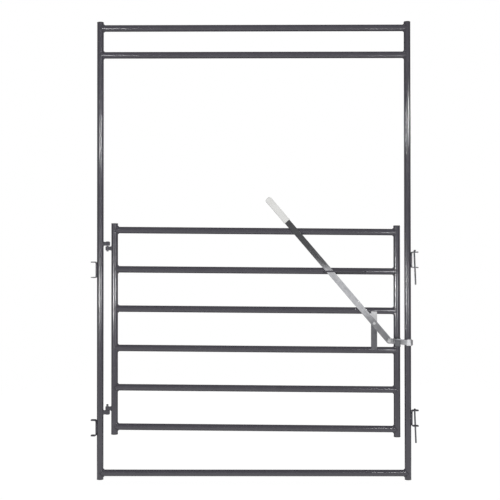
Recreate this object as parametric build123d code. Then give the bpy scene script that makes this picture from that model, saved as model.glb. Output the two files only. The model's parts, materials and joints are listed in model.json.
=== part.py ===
from build123d import *
import os
from math import atan, cos, radians, sin, tan

# A walk-through stock gate: a tall tube frame, a six-rail gate that swings in it, and a lever latch.
# Millimetres and degrees. The origin is on the ground under the hinge post's axis. +X runs to the
# latch post, +Z is up, and the front, where the lever is, faces -Y.

# Tube stock of the frame and the gate
tube_diameter = 38.1
tube_wall = 1.65

# Outer frame
post_height = 2667.0            # ground to the top of the post caps
post_spacing = 1790.7           # hinge post axis to latch post axis
header_drop = 36.0              # post top to the axis of the top rail
header_pitch = 157.5            # top rail to the rail below it
ground_rail_height = 38.0       # ground to the axis of the ground rail

# Gate panel
hinge_gap = 45.8                # clear gap between hinge post and hinge stile
latch_gap = 24.9                # clear gap between latch stile and latch post
gate_rail_count = 6
gate_rail_pitch = 229.0
lowest_rail_height = 307.0      # ground to the lowest rail, at the hinge stile
latch_side_drop = 14.0          # how much lower the panel hangs at the latch stile
stile_rise = 39.0               # stile end above the top rail's axis
stile_tail = 45.0               # stile end below the lowest rail's axis

# Plugs in the open tube ends
plug_head = 3.5
plug_overhang = 0.7             # head beyond the outside of the tube
plug_rounding = 2.4
plug_skirt = 14.0
plug_wall = 2.0
plug_clearance = 0.15

# Hinges: a square arm with a pin on the post, a ring with a shank on the stile
hinge_pin_diameter = 12.7
hinge_pin_chamfer = 1.6
hinge_clearance = 0.5           # between pin and ring, all round
hinge_arm_size = 22.2
hinge_arm_overhang = 13.0       # arm end beyond the pin's axis
upper_hinge_drop = 80.0         # top rail's axis to the upper arm's
lower_hinge_rise = 83.0         # lowest rail's axis to the lower arm's
eye_diameter = 23.0
eye_height = 22.0
eye_shank_depth = 16.0
lower_eye_gap = 0.3             # the lower ring rides on the lower arm
upper_eye_gap = 5.0             # free lift below the upper arm
upper_pin_reach = 7.0           # pin beyond the ring
lower_pin_reach = 14.0

# Panel connectors: straps bent into a C on the outer sides of the posts
connector_width = 31.75
connector_thickness = 6.35
connector_bend = 9.0            # bend radius at the middle of the strap
connector_corner = 8.0
connector_spread = 89.5         # leg to leg
left_connector_reach = 54.0     # post axis to the leg ends
right_connector_reach = 62.0
lower_connector_height = 300.0  # ground to the middle of the lower left connector
connector_pitch = 920.0         # lower connector to upper connector
right_connector_lift = 57.0     # right connectors sit higher, so that two panels interleave
pin_hole_diameter = 15.9
pin_hole_offset = 41.0          # post axis to hole axis

# Drop pins in the right connectors
drop_pin_diameter = 9.5
drop_pin_length = 198.0         # handle axis to the lower end
drop_pin_handle = 34.0
drop_pin_bend = 8.0
drop_pin_chamfer = 1.5
drop_pin_play = 1.35            # left between the leaning pin and the edges of its wide holes
drop_pin_seat_gap = 0.3

# Lever
link_gap = 15.0                 # lever's round lower end to the guide strap, latch closed
link_rise = 57.0                # bracket's lower rail to the link bolt, latch closed
lever_angle = 40.5              # from upright, leaning to the hinge side, latch closed
lever_pull = 26.0               # how far it turns to open the latch
lever_reach = 953.5             # pivot to the end of the grip
lever_tail = 133.0              # pivot to the link bolt
lever_width = 34.9
lever_thickness = 6.35
grip_length = 177.0
grip_side_wall = 1.6            # over the lever's edges
grip_face_wall = 3.1            # over the lever's faces
grip_corner = 13.0
grip_rounding = 4.5
grip_end_wall = 4.0
grip_clearance = 0.15
grip_collar_length = 8.0
grip_collar_rise = 1.3

# Lever bracket, welded to the fronts of two rails
bracket_rail = 3                # counted from the top, the rail above the bracket
bracket_width = 34.9
bracket_thickness = 6.35
bracket_stand = 1.45            # bracket face in front of the rail fronts
bracket_lap = 16.0              # how far its ends lap over the rails

# Pivot and link bolts
bolt_diameter = 9.5
bolt_running_clearance = 0.4    # all round, where a bar turns on a bolt
bolt_fixed_clearance = 0.1      # all round, where a bolt stays put
bolt_tail = 2.5                 # bolt end beyond its nut
running_gap = 0.4               # between faces that turn past each other
pivot_head_diameter = 17.0
pivot_head_height = 4.5
link_head_diameter = 20.5
link_head_height = 5.5
nut_across_flats = 14.3
nut_height = 8.3
nut_chamfer = 1.0
washer_diameter = 23.0
washer_thickness = 1.6

# Latch bar: pinned in front of the lever, bent back to slide along the stile's front
latch_bar_height = 31.75
latch_bar_thickness = 6.35
latch_bar_tilt = 5.7            # its outer end hangs lower, latch closed
latch_bar_turn = 0.675          # degrees that it rises for each degree of lever pull
latch_tip_past = 5.0            # bar's tip beyond the latch post's axis, latch closed
latch_bar_standoff = 0.8        # the bar's back face to the stile's front
latch_bar_tip_corner = 9.0
joggle_clearance = 2.6          # joggle bend beyond the lever's round end
joggle_angle = 70.0
joggle_bend = 4.5

# Guide strap on the latch stile, sized by the bar's travel through it
guide_width = 31.75
guide_strap = 4.0
guide_bend = 7.0
guide_clearance = 0.8           # round the bar's travel, and in front of its eye
pull_steps = 26                 # positions of the pull at which the travel is worked out

# Keeper strap on the latch post
keeper_height = 36.0
keeper_strap = 4.0
keeper_gap = 0.6                # in front of the bar's tip
keeper_lip = 9.0                # strap end past the post's middle, on the gate's side
keeper_reach = 27.7             # strap's outer side from the post's axis
keeper_bend = 16.0
keeper_turn_in = 10.0           # strap's far end behind the post's axis, where it turns in to the post
keeper_corner = 14.0            # rounding of the outer side's upper and lower corners
keeper_trim = 1.0               # the rounding's outline past the strap's flat faces

# Guide rod in front of the second rail, whose ends stop the lever
guide_rail = 2                  # counted from the top
guide_rod_diameter = 9.5
guide_rod_bend = 10.0
guide_rod_gap = 1.0             # in front of the lever
lever_stop_gap = 2.5

# Places worked out from the sizes above
tube_radius = tube_diameter / 2
tube_front = -tube_radius
bolt_radius = bolt_diameter / 2
hinge_pin_radius = hinge_pin_diameter / 2
guide_rod_radius = guide_rod_diameter / 2
drop_pin_radius = drop_pin_diameter / 2
latch_post_x = post_spacing
hinge_axis_x = tube_radius + hinge_gap / 2
hinge_stile_x = tube_diameter + hinge_gap
latch_stile_x = latch_post_x - tube_diameter - latch_gap
grip_width = lever_width + 2 * grip_side_wall
grip_thickness = lever_thickness + 2 * grip_face_wall


def rail_height(number, x):
    """Height of a gate rail's axis at a place along X; rail 1 is the top one."""
    hang = latch_side_drop * (x - hinge_stile_x) / (latch_stile_x - hinge_stile_x)
    return lowest_rail_height + (gate_rail_count - number) * gate_rail_pitch - hang


upper_arm_height = rail_height(1, hinge_stile_x) - upper_hinge_drop
lower_arm_height = rail_height(gate_rail_count, hinge_stile_x) + lower_hinge_rise
upper_eye_bottom = upper_arm_height - hinge_arm_size / 2 - upper_eye_gap - eye_height
lower_eye_bottom = lower_arm_height + hinge_arm_size / 2 + lower_eye_gap
link_x = latch_stile_x - guide_width / 2 - link_gap - lever_width / 2
link_z = rail_height(bracket_rail + 1, link_x) + link_rise
pivot_x = link_x - lever_tail * sin(radians(lever_angle))
pivot_z = link_z + lever_tail * cos(radians(lever_angle))
latch_bar_reach = (latch_post_x + latch_tip_past - link_x) / cos(radians(latch_bar_tilt))

# Faces of the latch pieces, from the rails towards the front
bracket_front = tube_front - bracket_stand
bracket_back = bracket_front + bracket_thickness
washer_front = bracket_front - washer_thickness
lever_back = washer_front - running_gap
lever_front = lever_back - lever_thickness
link_back = lever_front - running_gap
link_front = link_back - latch_bar_thickness
latch_bar_back = tube_front - latch_bar_standoff
latch_bar_front = latch_bar_back - latch_bar_thickness
guide_rod_y = lever_front - guide_rod_gap - guide_rod_radius


def rod(start, end, radius):
    """A solid round bar between two points."""
    run = Vector(*end) - Vector(*start)
    return extrude(Plane(origin=start, z_dir=run) * Circle(radius), run.length)


def upright(x, low, high, radius):
    """A solid round bar that stands upright in the plane of the gate."""
    return rod((x, 0, low), (x, 0, high), radius)


def cross_bore(x, height, radius):
    """A round bar along Y, long enough to drill the latch pieces."""
    return rod((x, -post_spacing, height), (x, post_spacing, height), radius)


def tube(start, end):
    """A length of the tube stock between two points."""
    return rod(start, end, tube_radius) - rod(start, end, tube_radius - tube_wall)


def coped_rail(left_x, right_x, left_height, right_height):
    """A rail whose ends are cut to the round of the two uprights that it is welded to."""
    rail = tube((left_x, 0, left_height), (right_x, 0, right_height))
    for x, height in ((left_x, left_height), (right_x, right_height)):
        rail -= upright(x, height - tube_diameter, height + tube_diameter, tube_radius)
    return rail


def gate_rail_line(number):
    """The two ends of a gate rail's axis, on the stiles' axes."""
    left = (hinge_stile_x, 0, rail_height(number, hinge_stile_x))
    right = (latch_stile_x, 0, rail_height(number, latch_stile_x))
    return left, right


def end_plug(x, height, outward):
    """A plug for a tube end: a rounded head on the end and a hollow skirt inside the tube."""
    on_end = (Align.CENTER, Align.CENTER, Align.MIN)
    in_tube = (Align.CENTER, Align.CENTER, Align.MAX)
    skirt_radius = tube_radius - tube_wall - plug_clearance
    head = Cylinder(tube_radius + plug_overhang, plug_head, align=on_end)
    head = fillet(head.edges().group_by(Axis.Z)[-1], plug_rounding)
    skirt = Cylinder(skirt_radius, plug_skirt, align=in_tube)
    skirt -= Cylinder(skirt_radius - plug_wall, plug_skirt, align=in_tube)
    return Plane(origin=(x, 0, height), z_dir=(0, 0, outward)) * (head + skirt)


def bent_strap(path, width, thickness, across):
    """A flat bar bent along a path; across is the direction of its width."""
    section = Plane(origin=path @ 0, x_dir=across, z_dir=path % 0) * Rectangle(width, thickness)
    return sweep(section, path=path)


def bent_rod(path, radius):
    """A round bar bent along a path."""
    return sweep(Plane(origin=path @ 0, z_dir=path % 0) * Circle(radius), path=path)


def hinge_arm(height):
    """A square bar welded to the hinge post and drilled for its pin."""
    reach = hinge_axis_x + hinge_arm_overhang
    arm = Pos(reach / 2, 0, height) * Box(reach, hinge_arm_size, hinge_arm_size)
    low = height - hinge_arm_size
    high = height + hinge_arm_size
    arm -= upright(0, low, high, tube_radius)
    return arm - upright(hinge_axis_x, low, high, hinge_pin_radius + bolt_fixed_clearance)


def hinge_pin(base, tip):
    """A pin from the far face of its arm to its free, chamfered end."""
    pin = upright(hinge_axis_x, base, tip, hinge_pin_radius)
    free_end = pin.edges().sort_by(Axis.Z)[-1 if tip > base else 0]
    return chamfer(free_end, hinge_pin_chamfer)


def hinge_eye(bottom):
    """A ring round the hinge pin with a shank that is welded to the hinge stile."""
    top = bottom + eye_height
    shank_run = hinge_stile_x - hinge_axis_x
    shank = Box(shank_run, eye_shank_depth, eye_height, align=(Align.MIN, Align.CENTER, Align.MIN))
    eye = upright(hinge_axis_x, bottom, top, eye_diameter / 2) + Pos(hinge_axis_x, 0, bottom) * shank
    eye -= upright(hinge_stile_x, bottom, top, tube_radius)
    return eye - upright(hinge_axis_x, bottom, top, hinge_pin_radius + hinge_clearance)


def connector(post_x, side, height, reach):
    """A strap bent into a C on a post's outer side, drilled through both legs; side is -1 or 1."""
    tip_x = post_x + side * reach
    spine_x = post_x + side * (tube_radius + connector_thickness / 2)
    top = height + connector_spread / 2
    bottom = height - connector_spread / 2
    corners = ((tip_x, 0, top), (spine_x, 0, top), (spine_x, 0, bottom), (tip_x, 0, bottom))
    path = FilletPolyline(*corners, radius=connector_bend)
    clip = bent_strap(path, connector_width, connector_thickness, (0, 1, 0))
    tips = clip.edges().filter_by(Axis.Z).group_by(Axis.X)[-1 if side > 0 else 0]
    clip = fillet(tips, connector_corner)
    hole_x = post_x + side * pin_hole_offset
    return clip - upright(hole_x, bottom - connector_spread, top + connector_spread, pin_hole_diameter / 2)


def drop_pin(height):
    """A rod hung in a right connector by its bent handle, which points to the front."""
    leg_top = (connector_spread + connector_thickness) / 2
    lean = atan((pin_hole_diameter / 2 - drop_pin_radius - drop_pin_play) / leg_top)
    rise = Vector(-sin(lean), 0, cos(lean))
    middle = Vector(latch_post_x + pin_hole_offset, 0, height)
    corner = middle + rise * ((leg_top + drop_pin_seat_gap + drop_pin_radius) / cos(lean))
    lower_end = corner - rise * drop_pin_length
    handle_end = corner - Vector(0, drop_pin_handle, 0)
    pin = bent_rod(FilletPolyline(lower_end, corner, handle_end, radius=drop_pin_bend), drop_pin_radius)
    ends = pin.edges().filter_by(GeomType.CIRCLE)
    free_edges = [ends.sort_by(Axis.Z)[0], ends.sort_by(Axis.Y)[0]]
    return chamfer(free_edges, drop_pin_chamfer)


def latch_bar_travel():
    """The lowest and the highest that the latch bar's edges reach inside the guide."""
    lows = []
    highs = []
    for step in range(pull_steps + 1):
        pull = lever_pull * step / pull_steps
        lean = radians(lever_angle - pull)
        slope = radians(latch_bar_turn * pull - latch_bar_tilt)
        bar_x = pivot_x + lever_tail * sin(lean)
        bar_z = pivot_z - lever_tail * cos(lean)
        tip_x = bar_x + latch_bar_reach * cos(slope)
        half_height = latch_bar_height / 2 / cos(slope)
        for side in (-1, 1):
            edge_x = min(latch_stile_x + side * guide_width / 2, tip_x)
            middle = bar_z + (edge_x - bar_x) * tan(slope)
            lows.append(middle - half_height)
            highs.append(middle + half_height)
    return min(lows), max(highs)


def bolt_guide():
    """A strap bent over the latch stile's front, through which the latch bar slides."""
    low, high = latch_bar_travel()
    bottom = low - guide_clearance - guide_strap / 2
    top = high + guide_clearance + guide_strap / 2
    front = link_front - guide_clearance - guide_strap / 2
    x = latch_stile_x
    corners = ((x, 0, top), (x, front, top), (x, front, bottom), (x, 0, bottom))
    path = FilletPolyline(*corners, radius=guide_bend)
    strap = bent_strap(path, guide_width, guide_strap, (1, 0, 0))
    return strap - upright(x, bottom - guide_strap, top + guide_strap, tube_radius)


def latch_keeper():
    """A strap bent round the latch post's front and outer side, open towards the gate."""
    x = latch_post_x
    z = link_z - (latch_post_x - link_x) * tan(radians(latch_bar_tilt))
    front = latch_bar_front - keeper_gap - keeper_strap / 2
    side = x + keeper_reach - keeper_strap / 2
    corners = ((x - keeper_lip, front, z), (side, front, z), (side, keeper_turn_in, z), (x, keeper_turn_in, z))
    strap = bent_strap(FilletPolyline(*corners, radius=keeper_bend), keeper_height, keeper_strap, (0, 0, 1))
    outline_width = 2 * (keeper_reach + keeper_trim)
    outline = RectangleRounded(outline_width, keeper_height + 2 * keeper_trim, keeper_corner)
    front_view = Plane(origin=(x, 0, z), x_dir=(1, 0, 0), z_dir=(0, -1, 0))
    strap &= front_view * extrude(outline, tube_diameter, both=True)
    return strap - upright(x, z - keeper_height, z + keeper_height, tube_radius)


def lever_bracket():
    """A flat bar between two rails, its ends cut to the rails' round, drilled for the pivot bolt."""
    top = rail_height(bracket_rail, pivot_x) - tube_radius + bracket_lap
    bottom = rail_height(bracket_rail + 1, pivot_x) + tube_radius - bracket_lap
    bar = Box(bracket_width, bracket_thickness, top - bottom, align=(Align.CENTER, Align.MIN, Align.MIN))
    bar = Pos(pivot_x, bracket_front, bottom) * bar
    for number in (bracket_rail, bracket_rail + 1):
        bar -= rod(*gate_rail_line(number), tube_radius)
    return bar - cross_bore(pivot_x, pivot_z, bolt_radius + bolt_fixed_clearance)


def lever_guide_rod():
    """A rod in front of the lever, bent back at both ends to the second rail."""
    height = rail_height(guide_rail, pivot_x)
    rise = height - pivot_z
    closed = radians(lever_angle)
    pulled = radians(lever_angle - lever_pull)
    stand_off = lever_width / 2 + lever_stop_gap + guide_rod_radius
    left = pivot_x - rise * tan(closed) - stand_off / cos(closed)
    right = pivot_x - rise * tan(pulled) + stand_off / cos(pulled)
    y = guide_rod_y
    corners = ((left, 0, height), (left, y, height), (right, y, height), (right, 0, height))
    loop = bent_rod(FilletPolyline(*corners, radius=guide_rod_bend), guide_rod_radius)
    return loop - rod(*gate_rail_line(guide_rail), tube_radius)


def domed_bolt(x, height, head_back, tail_end, head_diameter, head_height):
    """A bolt along Y with a low dome on the front and a plain shank to the back."""
    dome_radius = (head_diameter ** 2 / 4 + head_height ** 2) / (2 * head_height)
    dome = Pos(0, 0, head_height - dome_radius) * Sphere(dome_radius)
    dome &= Cylinder(head_diameter, head_height, align=(Align.CENTER, Align.CENTER, Align.MIN))
    shank_run = tail_end - head_back
    shank = Cylinder(bolt_radius, shank_run, align=(Align.CENTER, Align.CENTER, Align.MAX))
    return Plane(origin=(x, head_back, height), z_dir=(0, -1, 0)) * (dome + shank)


def lock_nut(x, height, front):
    """A hexagon nut on a bolt along Y, its corners chamfered."""
    hexagon = extrude(RegularPolygon(nut_across_flats / 2, 6, major_radius=False), nut_height)
    corner_radius = nut_across_flats / 2 / cos(radians(30))
    blank = Cylinder(corner_radius, nut_height, align=(Align.CENTER, Align.CENTER, Align.MIN))
    nut = hexagon & chamfer(blank.edges().filter_by(GeomType.CIRCLE), nut_chamfer)
    nut -= Cylinder(bolt_radius + bolt_fixed_clearance, 3 * nut_height)
    return Plane(origin=(x, front, height), z_dir=(0, 1, 0)) * nut


def spacer_washer():
    """The washer between the bracket and the lever."""
    washer = rod((pivot_x, bracket_front, pivot_z), (pivot_x, washer_front, pivot_z), washer_diameter / 2)
    return washer - cross_bore(pivot_x, pivot_z, bolt_radius + bolt_fixed_clearance)


# The lever's own plane: on its back face, X up along the lever, Z to the front
lever_up = (-sin(radians(lever_angle)), 0, cos(radians(lever_angle)))
lever_plane = Plane(origin=(pivot_x, lever_back, pivot_z), x_dir=lever_up, z_dir=(0, -1, 0))
lever_top = lever_reach - grip_end_wall


def lever_slot(margin):
    """The lever's outline, round at both ends, drawn larger by a margin."""
    width = lever_width + 2 * margin
    low = -lever_tail
    high = lever_top - lever_width / 2
    return Pos((low + high) / 2, 0) * SlotCenterToCenter(high - low, width)


def lever_bar():
    """The flat lever with its two bolt holes."""
    outline = lever_slot(0) - Circle(bolt_radius + bolt_running_clearance)
    outline -= Pos(-lever_tail, 0) * Circle(bolt_radius + bolt_fixed_clearance)
    return lever_plane * extrude(outline, lever_thickness)


def lever_grip():
    """A sleeve over the lever's upper end, with a collar round its mouth."""
    depth = lever_thickness / 2
    middle = lever_reach - grip_length / 2
    body = extrude(RectangleRounded(grip_length, grip_width, grip_corner), grip_thickness / 2, both=True)
    flat_edges = body.faces().sort_by(Axis.Z)[-1].edges() + body.faces().sort_by(Axis.Z)[0].edges()
    body = Pos(middle, 0, depth) * fillet(flat_edges, grip_rounding)
    mouth = lever_reach - grip_length
    from_mouth = (Align.MIN, Align.CENTER, Align.CENTER)
    square_end = Box(grip_corner, grip_width, grip_thickness, align=from_mouth)
    square_end = fillet(square_end.edges().filter_by(Axis.X), grip_rounding)
    collar_width = grip_width + 2 * grip_collar_rise
    collar_depth = grip_thickness + 2 * grip_collar_rise
    collar = Box(grip_collar_length, collar_width, collar_depth, align=from_mouth)
    collar = fillet(collar.edges().filter_by(Axis.X), grip_rounding + grip_collar_rise)
    collar = fillet(collar.edges().filter_by(Axis.X, reverse=True), grip_collar_rise)
    grip = body + Pos(mouth, 0, depth) * square_end + Pos(mouth, 0, depth) * collar
    cavity = extrude(lever_slot(grip_clearance), lever_thickness + 2 * grip_clearance)
    return lever_plane * (grip - Pos(0, 0, -grip_clearance) * cavity)


def latch_bar():
    """The flat bar that the lever pulls: its eye is in front of the lever, its tip in the keeper."""
    eye_y = (link_back + link_front) / 2
    bar_y = (latch_bar_back + latch_bar_front) / 2
    bend_start = lever_width / 2 + joggle_clearance
    bend_end = bend_start + (bar_y - eye_y) / tan(radians(joggle_angle))
    corners = ((0, eye_y), (bend_start, eye_y), (bend_end, bar_y), (latch_bar_reach, bar_y))
    path = FilletPolyline(*corners, radius=joggle_bend)
    bar = bent_strap(path, latch_bar_height, latch_bar_thickness, (0, 0, 1))
    tip_corners = bar.edges().filter_by(Axis.Y).group_by(Axis.X)[-1]
    bar = fillet(tip_corners, latch_bar_tip_corner)
    bar += rod((0, link_back, 0), (0, link_front, 0), latch_bar_height / 2)
    bar -= rod((0, link_back, 0), (0, link_front, 0), bolt_radius + bolt_running_clearance)
    return Pos(link_x, 0, link_z) * Rot(0, latch_bar_tilt, 0) * bar


nodes = {}

# Outer frame
post_tube_top = post_height - plug_head
for name, x in (("hinge_post", 0), ("latch_post", latch_post_x)):
    nodes[name] = tube((x, 0, plug_head), (x, 0, post_tube_top))
    nodes[name + "_cap"] = end_plug(x, post_tube_top, 1)
    nodes[name + "_foot"] = end_plug(x, plug_head, -1)
top_rail_height = post_height - header_drop
frame_rails = {
    "header_top_rail": top_rail_height,
    "header_lower_rail": top_rail_height - header_pitch,
    "ground_rail": ground_rail_height,
}
for name, height in frame_rails.items():
    nodes[name] = coped_rail(0, latch_post_x, height, height)
arm_half = hinge_arm_size / 2
nodes["upper_hinge_arm"] = hinge_arm(upper_arm_height)
nodes["upper_hinge_pin"] = hinge_pin(upper_arm_height + arm_half, upper_eye_bottom - upper_pin_reach)
nodes["lower_hinge_arm"] = hinge_arm(lower_arm_height)
lower_pin_tip = lower_eye_bottom + eye_height + lower_pin_reach
nodes["lower_hinge_pin"] = hinge_pin(lower_arm_height - arm_half, lower_pin_tip)
nodes["latch_keeper"] = latch_keeper()
upper_connector_height = lower_connector_height + connector_pitch
for level, height in (("lower", lower_connector_height), ("upper", upper_connector_height)):
    raised = height + right_connector_lift
    nodes[f"left_{level}_connector"] = connector(0, -1, height, left_connector_reach)
    nodes[f"right_{level}_connector"] = connector(latch_post_x, 1, raised, right_connector_reach)
    nodes[f"{level}_drop_pin"] = drop_pin(raised)

# Gate panel
for name, x in (("hinge_stile", hinge_stile_x), ("latch_stile", latch_stile_x)):
    low = rail_height(gate_rail_count, x) - stile_tail + plug_head
    high = rail_height(1, x) + stile_rise - plug_head
    nodes[name] = tube((x, 0, low), (x, 0, high))
    nodes[name + "_top_plug"] = end_plug(x, high, 1)
    nodes[name + "_bottom_plug"] = end_plug(x, low, -1)
for number in range(1, gate_rail_count + 1):
    left_height = rail_height(number, hinge_stile_x)
    right_height = rail_height(number, latch_stile_x)
    nodes[f"gate_rail_{number}"] = coped_rail(hinge_stile_x, latch_stile_x, left_height, right_height)
nodes["upper_hinge_eye"] = hinge_eye(upper_eye_bottom)
nodes["lower_hinge_eye"] = hinge_eye(lower_eye_bottom)
nodes["bolt_guide"] = bolt_guide()
nodes["lever_bracket"] = lever_bracket()
nodes["lever_guide_rod"] = lever_guide_rod()

# Lever, its pivot and the latch bar
pivot_end = bracket_back + nut_height + bolt_tail
nodes["lever_pivot_bolt"] = domed_bolt(
    pivot_x, pivot_z, lever_front - running_gap, pivot_end, pivot_head_diameter, pivot_head_height
)
nodes["lever_pivot_nut"] = lock_nut(pivot_x, pivot_z, bracket_back)
nodes["lever_pivot_washer"] = spacer_washer()
nodes["lever_bar"] = lever_bar()
nodes["lever_grip"] = lever_grip()
link_end = lever_back + nut_height + bolt_tail
nodes["link_bolt"] = domed_bolt(
    link_x, link_z, link_front - running_gap, link_end, link_head_diameter, link_head_height
)
nodes["link_nut"] = lock_nut(link_x, link_z, lever_back)
nodes["latch_bar"] = latch_bar()

os.makedirs("parts", exist_ok=True)
for name, solid in nodes.items():
    export_step(solid, f"parts/{name}.step")
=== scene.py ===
import json
import math
from typing import NamedTuple

import bmesh
import bpy
from bpy.props import FloatProperty, FloatVectorProperty, PointerProperty
from mathutils import Matrix, Vector, noise


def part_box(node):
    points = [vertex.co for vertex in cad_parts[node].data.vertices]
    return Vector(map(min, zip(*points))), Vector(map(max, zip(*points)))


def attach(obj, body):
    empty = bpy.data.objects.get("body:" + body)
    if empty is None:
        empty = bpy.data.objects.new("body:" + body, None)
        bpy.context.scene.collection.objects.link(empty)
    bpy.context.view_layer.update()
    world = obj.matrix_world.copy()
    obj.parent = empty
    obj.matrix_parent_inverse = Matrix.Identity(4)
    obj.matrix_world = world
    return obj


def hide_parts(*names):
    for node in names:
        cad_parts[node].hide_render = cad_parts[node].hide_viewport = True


bl_info = {
    "name": "Walk-through stock gate",
    "version": (1, 0, 0),
    "blender": (4, 5, 0),
    "location": "View3D > Sidebar > Stock gate",
    "description": "Paint, plating, welds and broken edges for a tube stock gate, and its studio",
    "category": "Object",
}

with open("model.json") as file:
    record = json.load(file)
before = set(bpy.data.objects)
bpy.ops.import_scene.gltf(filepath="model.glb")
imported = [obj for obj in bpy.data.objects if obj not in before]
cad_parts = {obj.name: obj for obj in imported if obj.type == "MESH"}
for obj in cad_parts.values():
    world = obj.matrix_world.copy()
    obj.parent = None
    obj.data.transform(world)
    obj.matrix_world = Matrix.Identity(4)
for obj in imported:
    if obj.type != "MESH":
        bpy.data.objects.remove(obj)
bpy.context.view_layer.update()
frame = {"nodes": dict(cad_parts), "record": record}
NODES = frame["nodes"]
BODY_OF = {
    node: body for body, members in frame["record"]["behaviour"]["bodies"].items() for node in members
}
MM = 0.001
ACROSS = Vector((1, 0, 0))
BACKWARD = Vector((0, 1, 0))
UPWARD = Vector((0, 0, 1))
WHITE = (1, 1, 1, 1)


def size_of(node):
    """Width, depth and height of a CAD piece."""
    low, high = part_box(node)
    return high - low


def middle_of(node):
    """Centre of a CAD piece's box."""
    low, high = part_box(node)
    return (low + high) / 2


TUBE_RADIUS = size_of("hinge_post").x / 2
POSTS = ("hinge_post", "latch_post")
STILES = ("hinge_stile", "latch_stile")
LEVELS = ("lower", "upper")
FRAME_RAILS = ("header_top_rail", "header_lower_rail", "ground_rail")
GATE_RAILS = tuple(f"gate_rail_{number}" for number in range(1, 7))
CONNECTORS = tuple(f"{side}_{level}_connector" for side in ("left", "right") for level in LEVELS)
LEVER_PIVOT = middle_of("lever_pivot_bolt")
LINK_PIVOT = middle_of("link_bolt")
LEVER_LEAN = math.atan2(LINK_PIVOT.x - LEVER_PIVOT.x, LEVER_PIVOT.z - LINK_PIVOT.z)


def linear(hex_colour):
    """An sRGB hex colour as the linear red, green and blue that Blender works in."""
    channels = [int(hex_colour[at:at + 2], 16) / 255 for at in (1, 3, 5)]
    return tuple(c / 12.92 if c <= 0.04045 else ((c + 0.055) / 1.055) ** 2.4 for c in channels)


def colour_setting(name, hex_colour, description):
    """A colour that a user may change."""
    return FloatVectorProperty(
        name=name, description=description, subtype="COLOR", size=3, min=0, max=1, default=linear(hex_colour)
    )


def length_setting(name, millimetres, description):
    """A length that a user may change, kept in metres."""
    return FloatProperty(
        name=name, description=description, subtype="DISTANCE", unit="LENGTH", precision=5,
        default=millimetres * MM,
    )


def level_setting(name, level, lit):
    """A brightness that a user may change, where 1 is seen as white."""
    return FloatProperty(name=name, description=f"Brightness of the {lit}", default=level, min=0)


class GateFinishes(bpy.types.PropertyGroup):
    """Colours of the gate's finishes."""

    enamel: colour_setting("Enamel", "#59575F", "Charcoal enamel where the coat is full")
    enamel_thin: colour_setting("Thin enamel", "#4D4B52", "Charcoal enamel where the coat is thinner")
    zinc: colour_setting("Zinc", "#C6C6C9", "Zinc plate on flat bar, and in the dull patches of bright zinc")
    zinc_dull: colour_setting("Dull zinc", "#A3A4A8", "Zinc plate along its drawn and rubbed streaks")
    # The grey tint is painted shade on the bracket's lower plate; the pale zinc is the keeper's own colour
    # and the bracket's painted highlight
    zinc_painted_shade: colour_setting("Grey zinc", "#CFCFD2", "Tint of the bracket's lower, greyed plate")
    zinc_pale_and_painted_highlight: colour_setting("Fresh zinc", "#D4D4D6", "Pale zinc on the upper bracket and the keeper")
    bolt_zinc: colour_setting("Bolt zinc", "#EDEDEE", "Bright zinc on bolts, nuts and the washer")
    rod: colour_setting("Rod", "#7C7D81", "Dull zinc on the drop pins, the hinge pins and the bolt guide")
    rod_dark: colour_setting("Dark rod", "#515256", "Dull zinc where it has darkened")
    vinyl: colour_setting("Vinyl", "#F2F2F0", "White vinyl of the lever's grip")
    vinyl_handled: colour_setting("Handled vinyl", "#EBEAE7", "Vinyl where hands have greyed it")
    plug: colour_setting("Plug", "#0F0F11", "Black polyethylene of the tube plugs")
    plug_scuffed: colour_setting("Scuffed plug", "#242428", "Polyethylene where it is scuffed")
    floor: colour_setting("Floor", "#B8B8B8", "Pale studio floor")


class GateDetail(bpy.types.PropertyGroup):
    """Sizes of the details that finish the pieces."""

    flat_edge: length_setting("Flat bar edge", 2.0, "Rounding on the lever, the bracket and the latch bar")
    strap_edge: length_setting("Strap edge", 0.9, "Rounding on the keeper and the bolt guide")
    connector_edge: length_setting("Connector edge", 1.8, "Rounding on the connectors' rolled edges")
    block_edge: length_setting("Block edge", 1.2, "Rounding on the hinge arms and eyes")
    nut_edge: length_setting("Nut edge", 0.35, "Rounding on nuts and the washer")
    corner_bead: length_setting("Corner bead", 5.4, "Radius of a weld bead in the corner of a tube joint")
    flush_bead: length_setting("Flush bead", 6.0, "Radius of a weld bead where two tubes run flush")
    front_ridge: length_setting("Front ridge", 1.5, "Height of a weld on the front, where tubes run flush")
    back_ridge: length_setting("Back ridge", 0.5, "Height of a weld on the back, where tubes run flush")
    hardware_bead: length_setting("Hardware bead", 3.0, "Radius of beads at hinges, straps and connectors")
    rod_bead: length_setting("Rod bead", 2.2, "Radius of beads at rods, pins and the bracket")
    ripple_pitch: length_setting("Ripple pitch", 2.6, "Spacing of the ripples along a weld bead")
    ripple_depth: FloatProperty(
        name="Ripple depth", description="Ripple height as a share of the bead's radius", default=0.09,
        subtype="FACTOR", min=0, max=1,
    )
    thread_pitch: length_setting("Thread pitch", 1.5, "Pitch of the bolts' threads")
    bolt_radius: length_setting("Bolt radius", 4.75, "Radius of the pivot and link bolts")


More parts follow.
